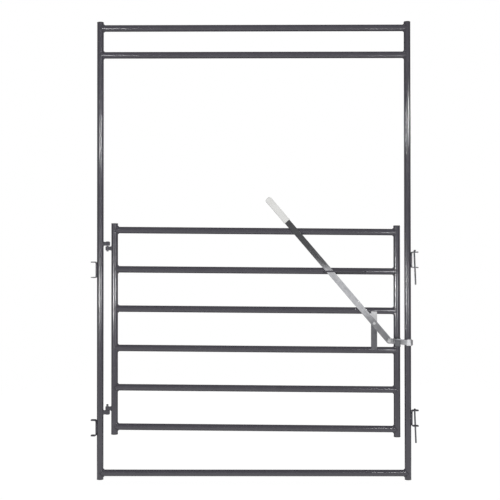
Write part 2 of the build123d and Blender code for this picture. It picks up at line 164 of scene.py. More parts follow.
class GateStudio(bpy.types.PropertyGroup):
    """Where the camera stands, and how bright the room, the drapes and the lamps are."""

    camera_place: FloatVectorProperty(
        name="Camera place", description="Where the camera stands", subtype="TRANSLATION", unit="LENGTH",
        default=(0.907, -5.5, 1.28),
    )
    camera_turn: FloatVectorProperty(
        name="Camera turn", description="Camera's pitch, roll and yaw away from level and straight on",
        subtype="EULER", unit="ROTATION",
        default=(math.radians(0.571), math.radians(-0.039), math.radians(0.35)),
    )
    lens: FloatProperty(name="Lens", description="Focal length on a 36 mm sensor", default=67.93, min=1)
    room: level_setting("Room", 0.24, "room's soft light")
    drapes: level_setting("Front drape", 0.16, "drape in front")
    low_drape: level_setting("Low drape", 0.44, "low drape in front")
    side_drape: level_setting("Side drapes", 0.06, "drapes beside and above")
    back_drape: level_setting("Back drapes", 0.08, "drapes behind")
    fill: level_setting("Fill", 5.6, "broad front fill")
    back_fill: level_setting("Back fill", 4.0, "broad lamp behind")
    left_panel: level_setting("Left panel", 98.0, "low left panel")
    left_glow: level_setting("Left glow", 5.0, "tall left panel")
    inner_panel: level_setting("Inner panel", 1.5, "short inner panel")
    inner_glow: level_setting("Inner glow", 0.3, "tall inner panel")
    upper_glow: level_setting("Upper glow", 0.25, "tall panel for the upper hinge post")
    post_panels: level_setting("Post panels", 3.0, "panels for the upper posts")
    stile_panel: level_setting("Stile panel", 4.0, "panel for the latch stile")
    right_panel: level_setting("Right panel", 32.0, "low right panel")
    far_panel: level_setting("Far panel", 26.0, "far right panel")
    latch_panel: level_setting("Latch panel", 4.0, "panel for the latch")
    connector_panel: level_setting("Connector panels", 11.0, "panels for the upper connectors")
    header_panel: level_setting("Header panel", 0.5, "panel below the header")


def detail():
    """The detail sizes as they are set now."""
    return bpy.context.scene.gate_detail


def finish(name):
    """A finish colour as it is set now, with full alpha for a colour socket."""
    return (*getattr(bpy.context.scene.gate_finishes, name), 1)


def per_metre(millimetres):
    """A texture scale whose features are about that many millimetres wide."""
    return 1 / (millimetres * MM)


# A Mix node has sockets of the same names for each kind of value, so those for colour go by their numbers
MIX_SHARE = 0
MIX_FIRST = 6
MIX_SECOND = 7
MIX_RESULT = 2


def add_node(tree, kind, settings=None, links=None):
    """Adds a node with its options and socket values, and links its inputs to other nodes' outputs."""
    node = tree.nodes.new(kind)
    for name, value in (settings or {}).items():
        if isinstance(name, int) or name in node.inputs:
            node.inputs[name].default_value = value
        else:
            setattr(node, name, value)
    for name, source in (links or {}).items():
        tree.links.new(source, node.inputs[name])
    return node


def new_material(name):
    """An empty node material: the material, its tree, its object coordinates and its surface socket."""
    material = bpy.data.materials.new(name)
    material.use_nodes = True
    tree = material.node_tree
    tree.nodes.clear()
    output = add_node(tree, "ShaderNodeOutputMaterial")
    place = add_node(tree, "ShaderNodeTexCoord").outputs["Object"]
    return material, tree, place, output.inputs["Surface"]


def look_of(colour, roughness, bump):
    """Links that give a shader its colour, its roughness and its bumps."""
    return {
        "Base Color": colour.outputs[MIX_RESULT],
        "Roughness": roughness.outputs["Result"],
        "Normal": bump.outputs["Normal"],
    }


def charcoal_enamel():
    """Baked enamel sprayed on tube: a deep gloss that orange peel softens and uneven coats mottle."""
    material, tree, place, surface = new_material("charcoal_baked_enamel")
    coat = add_node(
        tree, "ShaderNodeTexNoise", {"Scale": per_metre(60), "Detail": 4, "Roughness": 0.6}, {"Vector": place}
    )
    colour = add_node(
        tree, "ShaderNodeMix",
        {"data_type": "RGBA", MIX_FIRST: finish("enamel_thin"), MIX_SECOND: finish("enamel")},
        {MIX_SHARE: coat.outputs["Fac"]},
    )
    haze = add_node(tree, "ShaderNodeTexNoise", {"Scale": per_metre(22), "Detail": 3}, {"Vector": place})
    roughness = add_node(
        tree, "ShaderNodeMapRange", {"From Min": 0.3, "From Max": 0.7, "To Min": 0.16, "To Max": 0.22},
        {"Value": haze.outputs["Fac"]},
    )
    # Orange peel is about 2 mm across; the sags under it are drawn 14 mm wide so that they show
    peel = add_node(tree, "ShaderNodeTexNoise", {"Scale": per_metre(2.4), "Detail": 1}, {"Vector": place})
    sags = add_node(tree, "ShaderNodeTexNoise", {"Scale": per_metre(14), "Detail": 1}, {"Vector": place})
    sag_bump = add_node(
        tree, "ShaderNodeBump", {"Strength": 0.1, "Distance": 0.25 * MM}, {"Height": sags.outputs["Fac"]}
    )
    bump = add_node(
        tree, "ShaderNodeBump", {"Strength": 0.25, "Distance": 0.05 * MM},
        {"Height": peel.outputs["Fac"], "Normal": sag_bump.outputs["Normal"]},
    )
    enamel = add_node(tree, "ShaderNodeBsdfPrincipled", {"IOR": 1.5}, look_of(colour, roughness, bump))
    tree.links.new(enamel.outputs["BSDF"], surface)
    return material


def zinc_plate(name, lean, mirror=1.0, painted_highlight_above=None):
    """Zinc over drawn flat bar: a mirror for floor and room, broken by streaks along the bar's length.

    Given a height, the plate is painted pale above it as a highlight and painted grey below it as shade.
    """
    material, tree, place, surface = new_material(name)
    # The bar's own length lies along the turned Z axis, where the streaks are stretched
    along = add_node(
        tree, "ShaderNodeMapping", {"vector_type": "TEXTURE", "Rotation": (0, lean, 0), "Scale": (1, 1, 16)},
        {"Vector": place},
    )
    streaks = add_node(
        tree, "ShaderNodeTexNoise", {"Scale": per_metre(5), "Detail": 5, "Roughness": 0.65},
        {"Vector": along.outputs["Vector"]},
    )
    blotches = add_node(
        tree, "ShaderNodeTexNoise", {"Scale": per_metre(28), "Detail": 4, "Roughness": 0.6}, {"Vector": place}
    )
    rubbed = add_node(
        tree, "ShaderNodeMath", {"operation": "MULTIPLY_ADD", 1: 0.55},
        {0: streaks.outputs["Fac"], 2: blotches.outputs["Fac"]},
    )
    shade = add_node(
        tree, "ShaderNodeMapRange", {"From Min": 0.5, "From Max": 1.05}, {"Value": rubbed.outputs["Value"]}
    )
    colour = add_node(
        tree, "ShaderNodeMix",
        {"data_type": "RGBA", MIX_FIRST: finish("zinc_dull"), MIX_SECOND: finish("zinc")},
        {MIX_SHARE: shade.outputs["Result"]},
    )
    roughness = add_node(
        tree, "ShaderNodeMapRange", {"From Min": 0.35, "From Max": 0.65, "To Min": 0.1, "To Max": 0.04},
        {"Value": streaks.outputs["Fac"]},
    )
    bump = add_node(
        tree, "ShaderNodeBump", {"Strength": 0.1, "Distance": 0.05 * MM}, {"Height": blotches.outputs["Fac"]}
    )
    look = look_of(colour, roughness, bump)
    if painted_highlight_above is not None:
        look.update(painted_highlight_and_shade(tree, place, colour.outputs[MIX_RESULT], painted_highlight_above))
    zinc = add_node(tree, "ShaderNodeBsdfPrincipled", {"Metallic": mirror}, look)
    tree.links.new(zinc.outputs["BSDF"], surface)
    return material


def painted_highlight_and_shade(tree, place, plate, height):
    """Sockets for the colour and the mirror of a plate with a painted highlight above a height and painted
    shade below it.
    """
    half_fade = 9 * MM
    level = add_node(tree, "ShaderNodeSeparateXYZ", None, {"Vector": place})
    # Below the height the plate is tinted grey as painted shade; above it, it turns pale and less of a mirror
    # as a painted highlight
    painted_highlight_share = add_node(
        tree, "ShaderNodeMapRange", {"From Min": height - half_fade, "From Max": height + half_fade},
        {"Value": level.outputs["Z"]},
    )
    grey = add_node(
        tree, "ShaderNodeMix",
        {"data_type": "RGBA", "blend_type": "MULTIPLY", MIX_SHARE: 1, MIX_SECOND: finish("zinc_painted_shade")},
        {MIX_FIRST: plate},
    )
    colour = add_node(
        tree, "ShaderNodeMix", {"data_type": "RGBA", MIX_SECOND: finish("zinc_pale_and_painted_highlight")},
        {MIX_SHARE: painted_highlight_share.outputs["Result"], MIX_FIRST: grey.outputs[MIX_RESULT]},
    )
    mirror = add_node(
        tree, "ShaderNodeMapRange", {"To Min": 1, "To Max": 0.35}, {"Value": painted_highlight_share.outputs["Result"]}
    )
    return {"Base Color": colour.outputs[MIX_RESULT], "Metallic": mirror.outputs["Result"]}


def dull_rod():
    """Zinc over hot-rolled rod: dull and grey, darkened in runs along the rod."""
    material, tree, place, surface = new_material("dull_zinc_rod")
    runs = add_node(
        tree, "ShaderNodeMapping", {"vector_type": "TEXTURE", "Scale": (1, 1, 5)}, {"Vector": place}
    )
    darkened = add_node(
        tree, "ShaderNodeTexNoise", {"Scale": per_metre(6), "Detail": 4, "Roughness": 0.6},
        {"Vector": runs.outputs["Vector"]},
    )
    colour = add_node(
        tree, "ShaderNodeMix",
        {"data_type": "RGBA", MIX_FIRST: finish("rod_dark"), MIX_SECOND: finish("rod")},
        {MIX_SHARE: darkened.outputs["Fac"]},
    )
    roughness = add_node(
        tree, "ShaderNodeMapRange", {"From Min": 0.3, "From Max": 0.7, "To Min": 0.5, "To Max": 0.36},
        {"Value": darkened.outputs["Fac"]},
    )
    scale = add_node(tree, "ShaderNodeTexNoise", {"Scale": per_metre(1.6), "Detail": 2}, {"Vector": place})
    bump = add_node(
        tree, "ShaderNodeBump", {"Strength": 0.25, "Distance": 0.05 * MM}, {"Height": scale.outputs["Fac"]}
    )
    rod = add_node(tree, "ShaderNodeBsdfPrincipled", {"Metallic": 0.7}, look_of(colour, roughness, bump))
    tree.links.new(rod.outputs["BSDF"], surface)
    return material


def bright_zinc(name, dull, bright, mirror, patch):
    """Zinc on cold-formed steel: part mirror and part pale cloud, with small dimples and dull patches."""
    material, tree, place, surface = new_material(name)
    patches = add_node(
        tree, "ShaderNodeTexNoise", {"Scale": per_metre(patch), "Detail": 3}, {"Vector": place}
    )
    colour = add_node(
        tree, "ShaderNodeMix",
        {"data_type": "RGBA", MIX_FIRST: finish(dull), MIX_SECOND: finish(bright)},
        {MIX_SHARE: patches.outputs["Fac"]},
    )
    roughness = add_node(
        tree, "ShaderNodeMapRange", {"From Min": 0.3, "From Max": 0.7, "To Min": 0.28, "To Max": 0.14},
        {"Value": patches.outputs["Fac"]},
    )
    dimples = add_node(tree, "ShaderNodeTexNoise", {"Scale": per_metre(1.2), "Detail": 1}, {"Vector": place})
    bump = add_node(
        tree, "ShaderNodeBump", {"Strength": 0.2, "Distance": 0.03 * MM}, {"Height": dimples.outputs["Fac"]}
    )
    zinc = add_node(tree, "ShaderNodeBsdfPrincipled", {"Metallic": mirror}, look_of(colour, roughness, bump))
    tree.links.new(zinc.outputs["BSDF"], surface)
    return material


def fastener_zinc():
    """Bright zinc on cold-headed fasteners: the palest, with little of a mirror."""
    return bright_zinc("bright_zinc_fasteners", "zinc", "bolt_zinc", mirror=0.25, patch=4)


def keeper_zinc():
    """Bright zinc on bent strap: pale, and more than half a mirror."""
    return bright_zinc("bright_zinc_keeper", "zinc", "zinc_pale_and_painted_highlight", mirror=0.6, patch=6)


def guide_zinc():
    """Zinc on strap that the latch bar has rubbed and the weather greyed: dark, in broad patches."""
    return bright_zinc("greyed_zinc_guide", "rod_dark", "rod", mirror=0.5, patch=14)


def white_vinyl():
    """Soft dip-moulded vinyl: pale and satin, greyed in patches by hands."""
    material, tree, place, surface = new_material("white_dipped_vinyl")
    handled = add_node(
        tree, "ShaderNodeTexNoise", {"Scale": per_metre(35), "Detail": 5, "Roughness": 0.6}, {"Vector": place}
    )
    share = add_node(
        tree, "ShaderNodeMapRange", {"From Min": 0.5, "From Max": 0.75}, {"Value": handled.outputs["Fac"]}
    )
    colour = add_node(
        tree, "ShaderNodeMix",
        {"data_type": "RGBA", MIX_FIRST: finish("vinyl"), MIX_SECOND: finish("vinyl_handled")},
        {MIX_SHARE: share.outputs["Result"]},
    )
    roughness = add_node(
        tree, "ShaderNodeMapRange", {"To Min": 0.3, "To Max": 0.48}, {"Value": handled.outputs["Fac"]}
    )
    skin = add_node(tree, "ShaderNodeTexNoise", {"Scale": per_metre(1.5), "Detail": 2}, {"Vector": place})
    bump = add_node(
        tree, "ShaderNodeBump", {"Strength": 0.05, "Distance": 0.04 * MM}, {"Height": skin.outputs["Fac"]}
    )
    vinyl = add_node(tree, "ShaderNodeBsdfPrincipled", {"IOR": 1.53}, look_of(colour, roughness, bump))
    tree.links.new(vinyl.outputs["BSDF"], surface)
    return material


def black_polyethylene():
    """Moulded polyethylene: a dull black with a fine spark-eroded grain and paler scuffs."""
    material, tree, place, surface = new_material("black_moulded_polyethylene")
    scuffs = add_node(
        tree, "ShaderNodeTexNoise", {"Scale": per_metre(7), "Detail": 6, "Roughness": 0.7}, {"Vector": place}
    )
    share = add_node(
        tree, "ShaderNodeMapRange", {"From Min": 0.52, "From Max": 0.72}, {"Value": scuffs.outputs["Fac"]}
    )
    colour = add_node(
        tree, "ShaderNodeMix",
        {"data_type": "RGBA", MIX_FIRST: finish("plug"), MIX_SECOND: finish("plug_scuffed")},
        {MIX_SHARE: share.outputs["Result"]},
    )
    roughness = add_node(
        tree, "ShaderNodeMapRange", {"To Min": 0.38, "To Max": 0.6}, {"Value": share.outputs["Result"]}
    )
    grain = add_node(tree, "ShaderNodeTexNoise", {"Scale": per_metre(0.8), "Detail": 2}, {"Vector": place})
    bump = add_node(
        tree, "ShaderNodeBump", {"Strength": 0.3, "Distance": 0.06 * MM}, {"Height": grain.outputs["Fac"]}
    )
    plastic = add_node(tree, "ShaderNodeBsdfPrincipled", {"IOR": 1.51}, look_of(colour, roughness, bump))
    tree.links.new(plastic.outputs["BSDF"], surface)
    return material


FINISHES_MADE = {}


def shared(make, *settings):
    """A finish that several pieces share: made once, then found again by its maker's name and settings."""
    key = (make.__name__, *settings)
    if key not in FINISHES_MADE:
        FINISHES_MADE[key] = make(*settings)
    return FINISHES_MADE[key]


def paint_node(node, material):
    """Gives a CAD piece its finish and leaves its shape alone."""
    for slot in NODES[node].material_slots:
        slot.material = material


def link_new(name, data):
    """A new object at the origin, in the scene."""
    holder = bpy.data.objects.new(name, data)
    bpy.context.scene.collection.objects.link(holder)
    return holder


def new_mesh(name, shape):
    """Turns a bmesh into a mesh."""
    mesh = bpy.data.meshes.new(name)
    shape.to_mesh(mesh)
    shape.free()
    return mesh


def new_piece(name, mesh, body, material):
    """Links a finished mesh as a piece that moves with a body and takes a slot's finish."""
    piece = link_new(name, mesh)
    mesh.materials.append(material)
    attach(piece, body)
    return piece


def replace_node(node, mesh, material):
    """Puts a finished mesh in a CAD piece's place."""
    piece = new_piece(f"{node}_finished", mesh, BODY_OF[node], material)
    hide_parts(node)


# Corners nearer than the gap are merged, and faces that meet flatter than the first angle are joined.
# Edges sharper than the second angle are rounded.
MERGE_GAP = 0.001 * MM
FLAT_ANGLE = math.radians(0.4)
SHARP_ANGLE = math.radians(35)


def broken_edges(node, edge, material):
    """Replaces a CAD piece with a copy whose sharp edges are rounded, as sheared and tumbled steel is."""
    shape = bmesh.new()
    shape.from_mesh(NODES[node].data)
    bmesh.ops.remove_doubles(shape, verts=shape.verts, dist=MERGE_GAP)
    bmesh.ops.dissolve_limit(
        shape, angle_limit=FLAT_ANGLE, verts=shape.verts, edges=shape.edges, delimit=set()
    )
    sharp = [e for e in shape.edges if e.is_manifold and e.calc_face_angle() > SHARP_ANGLE]
    bmesh.ops.bevel(
        shape, geom=sharp, offset=edge, offset_type="OFFSET", affect="EDGES", segments=3, profile=0.5,
        material=-1, clamp_overlap=True,
    )
    mesh = new_mesh(node, shape)
    mesh.shade_smooth()
    # Each corner leans with its largest faces, so flat faces stay flat and only the roundings shade off
    leaning = [Vector() for _ in mesh.vertices]
    for face in mesh.polygons:
        for corner in face.vertices:
            leaning[corner] += face.normal * face.area
    mesh.normals_split_custom_set_from_vertices([lean.normalized() for lean in leaning])
    replace_node(node, mesh, material)


def spin_shape(profile, centre, along, steps=40):
    """Spins a profile of (distance along the axis, radius) pairs into a closed turned shape."""
    shape = bmesh.new()
    across = along.orthogonal().normalized()
    verts = [shape.verts.new(centre + along * reach + across * radius) for reach, radius in profile]
    edges = [shape.edges.new(pair) for pair in zip(verts, verts[1:])]
    bmesh.ops.spin(
        shape, geom=verts + edges, cent=centre, axis=along, angle=2 * math.pi, steps=steps, use_merge=True
    )
    bmesh.ops.remove_doubles(shape, verts=shape.verts, dist=MERGE_GAP)
    bmesh.ops.recalc_face_normals(shape, faces=shape.faces)
    return shape


def weld_piece(name, body, beads):
    """Joins weld beads, each a list of (place, radius) and whether it closes, into one painted piece."""
    line = bpy.data.curves.new(name, "CURVE")
    line.dimensions = "3D"
    line.bevel_depth = MM
    line.bevel_resolution = 2
    line.use_fill_caps = True
    for places, closed in beads:
        spline = line.splines.new("POLY")
        spline.points.add(len(places) - 1)
        spline.use_cyclic_u = closed
        for point, (place, radius) in zip(spline.points, places):
            point.co = (*place, 1)
            point.radius = radius / MM
    drawn = link_new(name, line)
    bpy.context.view_layer.update()
    mesh = bpy.data.meshes.new_from_object(drawn.evaluated_get(bpy.context.evaluated_depsgraph_get()))
    bpy.data.objects.remove(drawn)
    bpy.data.curves.remove(line)
    mesh.name = name
    mesh.shade_smooth()
    new_piece(name, mesh, body, shared(charcoal_enamel))


def ripple(places):
    """Ripples a bead's radius along its length, unevenly as a hand-held torch leaves it."""
    size = detail()
    drift_length = 9
    drift_depth = 0.16
    run = 0
    rippled = []
    last = places[0][0]
    for place, radius in places:
        run += (place - last).length
        last = place
        wave = math.sin(2 * math.pi * run / size.ripple_pitch) * size.ripple_depth
        drift = noise.noise(place * per_metre(drift_length)) * drift_depth
        rippled.append((place, radius * (1 + wave + drift)))
    return rippled


def taper(share, tip, slope):
    """How full a bead is at a share of its run: thin at both tips and full between them."""
    return min(1, tip + slope * share, tip + slope * (1 - share))


def saddle_bead(upright, side, rail_height, steps=220):
    """The bead round a coped rail end: full in the two corners, low where the tubes run flush."""
    size = detail()
    centre = Vector((middle_of(upright).x, 0, rail_height))
    plain = []
    ways = []
    for step in range(steps):
        turn = 2 * math.pi * step / steps
        reach = abs(math.cos(turn))
        on_joint = Vector((side * reach, math.sin(turn), math.cos(turn))) * TUBE_RADIUS
        radius = size.flush_bead + (size.corner_bead - size.flush_bead) * reach ** 2
        plain.append((centre + on_joint, radius))
        outward = Vector((side * reach, 2 * math.sin(turn), math.cos(turn))).normalized()
        ways.append((outward, 1 - reach ** 2))
    sunk = []
    for (place, radius), (_, plain_radius), (outward, flushness) in zip(ripple(plain), plain, ways):
        ridge = (size.front_ridge if place.y < 0 else size.back_ridge) * radius / plain_radius
        sunk.append((place - outward * (radius - ridge) * flushness, radius))
    return sunk, True


def block_bead(upright, side, block, steps=120):
    """The bead round a square block where it meets an upright tube."""
    size = detail()
    centre = middle_of(block)
    half = size_of(block) / 2
    upright_x = middle_of(upright).x
    squareness = 0.35
    places = []
    for step in range(steps):
        turn = 2 * math.pi * step / steps
        across = math.copysign(abs(math.cos(turn)) ** squareness, math.cos(turn)) * half.y
        rise = math.copysign(abs(math.sin(turn)) ** squareness, math.sin(turn)) * half.z
        reach = math.sqrt(TUBE_RADIUS ** 2 - across ** 2)
        places.append((Vector((upright_x + side * reach, across, centre.z + rise)), size.hardware_bead))
    return ripple(places), True


def ring_bead(centre, along, upward, rod_radius, steps=64):
    """The bead round a rod or a pin, in the plane of two directions."""
    bead = detail().rod_bead
    ring_radius = rod_radius + bead / 2
    places = []
    for step in range(steps):
        turn = 2 * math.pi * step / steps
        place = centre + (along * math.cos(turn) + upward * math.sin(turn)) * ring_radius
        places.append((place, bead))
    return ripple(places), True


def straight_bead(start, end, steps=60):
    """A short run of weld between two places, tapered at both ends."""
    places = []
    for step in range(steps + 1):
        share = step / steps
        fullness = taper(share, tip=0.15, slope=6)
        places.append((start.lerp(end, share), detail().hardware_bead * fullness))
    return ripple(places), False


class StockGateOperator:
    """What the gate's operators have in common."""

    bl_options = {"REGISTER", "UNDO"}


class STOCKGATE_OT_tubes(StockGateOperator, bpy.types.Operator):
    """Enamel the posts, the stiles and all rails"""

    bl_idname = "stock_gate.tubes"
    bl_label = "Enamel tubes"

    def execute(self, context):
        for node in (*POSTS, *STILES, *FRAME_RAILS, *GATE_RAILS):
            paint_node(node, shared(charcoal_enamel))
        return {"FINISHED"}


class STOCKGATE_OT_plugs(StockGateOperator, bpy.types.Operator):
    """Finish the plugs in the tube ends"""

    bl_idname = "stock_gate.plugs"
    bl_label = "Finish plugs"

    def execute(self, context):
        for tubes, ends in ((POSTS, ("cap", "foot")), (STILES, ("top_plug", "bottom_plug"))):
            for tube in tubes:
                for end in ends:
                    paint_node(f"{tube}_{end}", shared(black_polyethylene))
        return {"FINISHED"}


class STOCKGATE_OT_tube_welds(StockGateOperator, bpy.types.Operator):
    """Lay a weld bead round each rail end"""

    bl_idname = "stock_gate.tube_welds"
    bl_label = "Weld tubes"

    def execute(self, context):
        frame_beads = []
        for rail in FRAME_RAILS:
            for post, side in zip(POSTS, (1, -1)):
                frame_beads.append(saddle_bead(post, side, middle_of(rail).z))
        weld_piece("frame_tube_welds", "frame", frame_beads)
        gate_beads = []
        for rail in GATE_RAILS:
            # A rail may fall a little towards the latch, so each end has a height of its own
            low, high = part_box(rail)
            gate_beads.append(saddle_bead("hinge_stile", 1, high.z - TUBE_RADIUS))
            gate_beads.append(saddle_bead("latch_stile", -1, low.z + TUBE_RADIUS))
        weld_piece("gate_tube_welds", "gate", gate_beads)
        return {"FINISHED"}


class STOCKGATE_OT_hinges(StockGateOperator, bpy.types.Operator):
    """Finish the hinge arms, eyes and pins, and weld them on"""

    bl_idname = "stock_gate.hinges"
    bl_label = "Finish hinges"

    def execute(self, context):
        block_edge = detail().block_edge
        arm_beads = []
        eye_beads = []
        for level in reversed(LEVELS):
            arm, eye, pin = (f"{level}_hinge_{part}" for part in ("arm", "eye", "pin"))
            broken_edges(arm, block_edge, shared(charcoal_enamel))
            broken_edges(eye, block_edge, shared(charcoal_enamel))
            paint_node(pin, shared(dull_rod))
            arm_beads.append(block_bead("hinge_post", 1, arm))
            eye_beads.append(block_bead("hinge_stile", -1, eye))
            low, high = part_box(arm)
            outer_end = high if level == "upper" else low
            pin_head = Vector((middle_of(pin).x, middle_of(pin).y, outer_end.z))
            arm_beads.append(ring_bead(pin_head, ACROSS, BACKWARD, size_of(pin).x / 2))
        weld_piece("hinge_arm_welds", "frame", arm_beads)
        weld_piece("hinge_eye_welds", "gate", eye_beads)
        return {"FINISHED"}


class STOCKGATE_OT_connectors(StockGateOperator, bpy.types.Operator):
    """Finish the panel connectors and their drop pins, and weld the connectors on"""

    bl_idname = "stock_gate.connectors"
    bl_label = "Finish connectors"

    def execute(self, context):
        half_weld = 29 * MM
        weld_offset = 10 * MM
        gap_middle = (TUBE_RADIUS + math.sqrt(TUBE_RADIUS ** 2 - weld_offset ** 2)) / 2
        beads = []
        for connector in CONNECTORS:
            broken_edges(connector, detail().connector_edge, shared(charcoal_enamel))
            post, side = ("hinge_post", -1) if connector.startswith("left") else ("latch_post", 1)
            x = middle_of(post).x + side * gap_middle
            z = middle_of(connector).z
            for y in (-weld_offset, weld_offset):
                beads.append(straight_bead(Vector((x, y, z - half_weld)), Vector((x, y, z + half_weld))))
        weld_piece("connector_welds", "frame", beads)
        for level in LEVELS:
            paint_node(f"{level}_drop_pin", shared(dull_rod))
        return {"FINISHED"}


class STOCKGATE_OT_lever(StockGateOperator, bpy.types.Operator):
    """Finish the lever, its bracket and its guide rod, and weld the two on"""

    bl_idname = "stock_gate.lever"
    bl_label = "Finish lever"

    def execute(self, context):
        flat_edge = detail().flat_edge
        broken_edges("lever_bar", flat_edge, zinc_plate("zinc_plated_lever", -LEVER_LEAN))
        # The bracket is painted pale above the pivot as a highlight and grey below it as shade
        bracket_zinc = zinc_plate("zinc_plated_bracket", 0, painted_highlight_above=LEVER_PIVOT.z)
        broken_edges("lever_bracket", flat_edge, bracket_zinc)
        paint_node("lever_guide_rod", shared(charcoal_enamel))
        low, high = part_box("lever_bracket")
        bracket_beads = []
        for x in (low.x, high.x):
            for end, way in ((low.z, 1), (high.z, -1)):
                bracket_beads.append(self.side_bead(x, end, way))
        weld_piece("bracket_welds", "gate", bracket_beads)
        low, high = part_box("lever_guide_rod")
        rod_radius = size_of("lever_guide_rod").z / 2
        rod_beads = []
        for x in (low.x + rod_radius, high.x - rod_radius):
            centre = Vector((x, -TUBE_RADIUS, middle_of("lever_guide_rod").z))
            rod_beads.append(ring_bead(centre, ACROSS, UPWARD, rod_radius))
        weld_piece("guide_rod_welds", "gate", rod_beads)
        return {"FINISHED"}

    def side_bead(self, x, end, way, steps=40):
        """A bead along a bracket's side, from its end round the rail's front."""
        lap = 16 * MM
        places = []
        for step in range(steps + 1):
            share = step / steps
            from_axis = TUBE_RADIUS - lap * (1 - share)
            front = -math.sqrt(max(TUBE_RADIUS ** 2 - from_axis ** 2, 0))
            fullness = taper(share, tip=0.3, slope=4)
            places.append((Vector((x, front, end + way * lap * share)), detail().rod_bead * fullness))
        return ripple(places), False


class STOCKGATE_OT_latch(StockGateOperator, bpy.types.Operator):
    """Finish the latch bar, its guide and its keeper, and weld the guide and the keeper on"""

    bl_idname = "stock_gate.latch"
    bl_label = "Finish latch"

    weld_inset = 2.5 * MM

    def execute(self, context):
        size = detail()
        bar_zinc = zinc_plate("zinc_plated_latch_bar", math.pi / 2, mirror=0.6)
        broken_edges("latch_bar", size.flat_edge, bar_zinc)
        broken_edges("latch_keeper", size.strap_edge, keeper_zinc())
        broken_edges("bolt_guide", size.strap_edge, guide_zinc())
        weld_piece("guide_welds", "gate", [self.guide_bead(corner.z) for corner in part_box("bolt_guide")])
        low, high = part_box("latch_keeper")
        tail_angle = math.radians(37)
        tail_x = middle_of("latch_post").x + TUBE_RADIUS * math.cos(tail_angle)
        tail_y = TUBE_RADIUS * math.sin(tail_angle)
        start = Vector((tail_x, tail_y, low.z + self.weld_inset))
        end = Vector((tail_x, tail_y, high.z - self.weld_inset))
        weld_piece("keeper_welds", "frame", [straight_bead(start, end)])
        return {"FINISHED"}

    def guide_bead(self, z, steps=40):
        """A bead along an edge of the bolt guide, round the stile's front."""
        half_run = size_of("bolt_guide").x / 2 - self.weld_inset
        stile_x = middle_of("latch_stile").x
        places = []
        for step in range(steps + 1):
            across = half_run * (2 * step / steps - 1)
            front = -math.sqrt(TUBE_RADIUS ** 2 - across ** 2)
            places.append((Vector((stile_x + across, front, z)), detail().hardware_bead))
        return ripple(places), False


# Sizes of the two domed bolts, with the thread's depth as a share of its pitch
HEAD_HEIGHTS = {"lever_pivot_bolt": 4.5 * MM, "link_bolt": 5.5 * MM}
HEAD_RIM = 0.9 * MM
DOME_STEPS = 10
THREAD_DEPTH = 0.6
BOLT_CREASE = math.radians(38)


class STOCKGATE_OT_fasteners(StockGateOperator, bpy.types.Operator):
    """Turn the two domed bolts with their threads, and finish the nuts and the washer"""

    bl_idname = "stock_gate.fasteners"
    bl_label = "Finish fasteners"

    def execute(self, context):
        nut_edge = detail().nut_edge
        for bolt, nut in (("lever_pivot_bolt", "lever_pivot_nut"), ("link_bolt", "link_nut")):
            self.turn_bolt(bolt, nut)
            broken_edges(nut, nut_edge, shared(fastener_zinc))
        broken_edges("lever_pivot_washer", nut_edge, shared(fastener_zinc))
        return {"FINISHED"}

    def turn_bolt(self, bolt, nut):
        """Spins a bolt: a domed head with a straight rim, a plain shank and rings for its thread."""
        low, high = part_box(bolt)
        profile = self.head_profile(HEAD_HEIGHTS[bolt], (high.x - low.x) / 2)
        profile += self.shank_profile(HEAD_HEIGHTS[bolt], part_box(nut)[0].y - low.y, high.y - low.y)
        centre = Vector((middle_of(bolt).x, low.y, middle_of(bolt).z))
        mesh = new_mesh(bolt, spin_shape(profile, centre, BACKWARD))
        mesh.shade_smooth()
        mesh.set_sharp_from_angle(angle=BOLT_CREASE)
        replace_node(bolt, mesh, shared(fastener_zinc))

    def head_profile(self, height, radius):
        """A dome from its crown out to the rim, and the rim's side."""
        crown = height - HEAD_RIM
        dome_radius = (radius ** 2 + crown ** 2) / (2 * crown)
        dome_turn = math.asin(radius / dome_radius)
        profile = []
        for step in range(DOME_STEPS + 1):
            turn = dome_turn * step / DOME_STEPS
            profile.append((dome_radius * (1 - math.cos(turn)), dome_radius * math.sin(turn)))
        profile.append((height, radius))
        return profile

    def shank_profile(self, start, thread_start, thread_end):
        """A plain shank, then thread rings from the nut's front, and a chamfered end."""
        size = detail()
        depth = THREAD_DEPTH * size.thread_pitch
        profile = [(start, size.bolt_radius)]
        reach = thread_start
        while reach + size.thread_pitch < thread_end:
            profile.append((reach, size.bolt_radius))
            profile.append((reach + size.thread_pitch / 2, size.bolt_radius - depth / 2))
            reach += size.thread_pitch
        profile.append((reach, size.bolt_radius))
        profile.append((thread_end, size.bolt_radius - depth))
        profile.append((thread_end, 0))
        return profile


class STOCKGATE_OT_grip(StockGateOperator, bpy.types.Operator):
    """Finish the vinyl grip"""

    bl_idname = "stock_gate.grip"
    bl_label = "Finish grip"

    def execute(self, context):
        paint_node("lever_grip", white_vinyl())
        return {"FINISHED"}


def looked_at(tree):
    """A socket that is 1 where the camera, a gloss or a clear material looks, and 0 for soft light."""
    path = add_node(tree, "ShaderNodeLightPath")
    mirrored = add_node(
        tree, "ShaderNodeMath", {"operation": "MAXIMUM"},
        {0: path.outputs["Is Camera Ray"], 1: path.outputs["Is Glossy Ray"]},
    )
    looked = add_node(
        tree, "ShaderNodeMath", {"operation": "MAXIMUM"},
        {0: mirrored.outputs["Value"], 1: path.outputs["Is Transmission Ray"]},
    )
    return looked.outputs["Value"]


# The floor's sheet is full up to one radius and has faded out at the other, in metres.
# Its glow is for whoever looks, by this share, and the rest of it takes the gate's shadow.
FLOOR_CENTRE = (0.9, 0.6, 0)
FLOOR_FULL = 2.2
FLOOR_RADIUS = 4.2
FLOOR_GLOW = 1.34
FLOOR_GLOW_SHARE = 0.7


